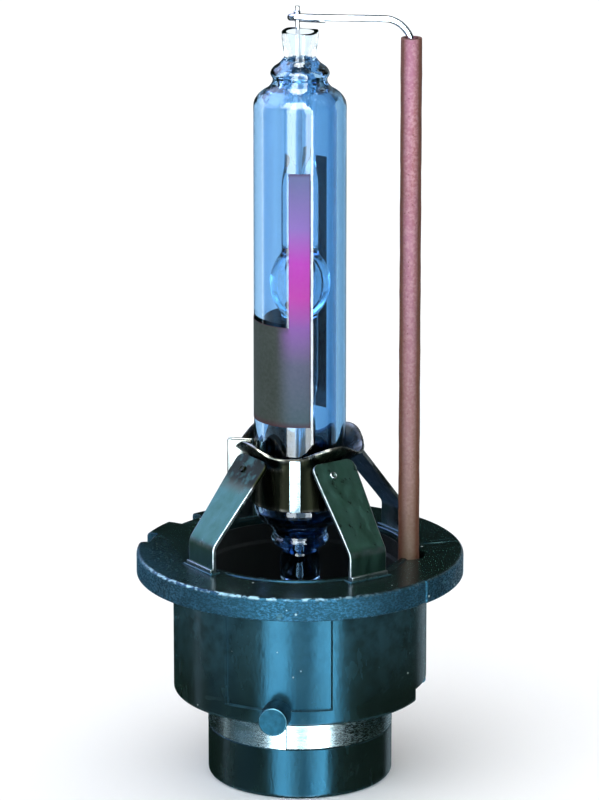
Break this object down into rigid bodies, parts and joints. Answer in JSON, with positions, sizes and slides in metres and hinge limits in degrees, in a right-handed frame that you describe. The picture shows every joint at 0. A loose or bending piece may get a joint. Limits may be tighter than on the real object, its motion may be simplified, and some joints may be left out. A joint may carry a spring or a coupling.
{
  "type": "headlight bulb",
  "caption": "Gas-discharge headlight bulb: glass burner in a legged clamp on a flanged base, with a side return wire in a ceramic sleeve and a round bayonet plug.",
  "frame": {"origin": "centre of the plug's bottom face, on the bulb's axis", "axes": "+Z along the bulb's axis from plug to tip, +X towards the ceramic sleeve, the two bayonet pins along +Y and -Y"},
  "size_m": [0.0322, 0.0322, 0.0773],
  "materials": {
    "base_plastic": "moulded black-green, soft gloss",
    "flange_plastic": "glossy top, blasted rim",
    "insulator_plastic": "matt moulded",
    "bright_metal": "tinned, bright",
    "lug_metal": "dark blued, satin",
    "leg_steel": "rolled, satin",
    "clamp_steel": "rolled, bronze tint",
    "quartz": "clear, blue tint",
    "burner_quartz": "clear",
    "refractory_metal": "grey, satin",
    "shield_paint": "fired-on light shield, matt",
    "sleeve_ceramic": "unglazed terracotta"
  },
  "bodies": {
    "bulb": {"base_body": "base_plastic", "reference_flange": "flange_plastic", "plug_barrel": "base_plastic", "contact_ring": "bright_metal", "centre_insulator": "insulator_plastic", "centre_contact": "bright_metal", "bayonet_pin_front": "lug_metal", "bayonet_pin_rear": "lug_metal", "outer_jacket": "quartz", "arc_tube": "burner_quartz", "upper_electrode": "refractory_metal", "lower_electrode": "refractory_metal", "upper_foil": "refractory_metal", "lower_foil": "refractory_metal", "upper_lead": "bright_metal", "lower_lead": "bright_metal", "shield_coating": "shield_paint", "clamp_band": "clamp_steel", "clamp_strap": "bright_metal", "support_leg_front_right": "leg_steel", "support_leg_rear_right": "leg_steel", "support_leg_rear_left": "leg_steel", "support_leg_front_left": "leg_steel", "return_bar": "bright_metal", "return_rod": "bright_metal", "return_strap": "bright_metal"},
    "sleeve": {"ceramic_sleeve": "sleeve_ceramic"}
  },
  "joints": [
    {"name": "sleeve_play", "type": "slide", "parent": "bulb", "child": "sleeve", "axis": [0, 0, 1], "range_m": [0, 0.0002]}
  ]
}
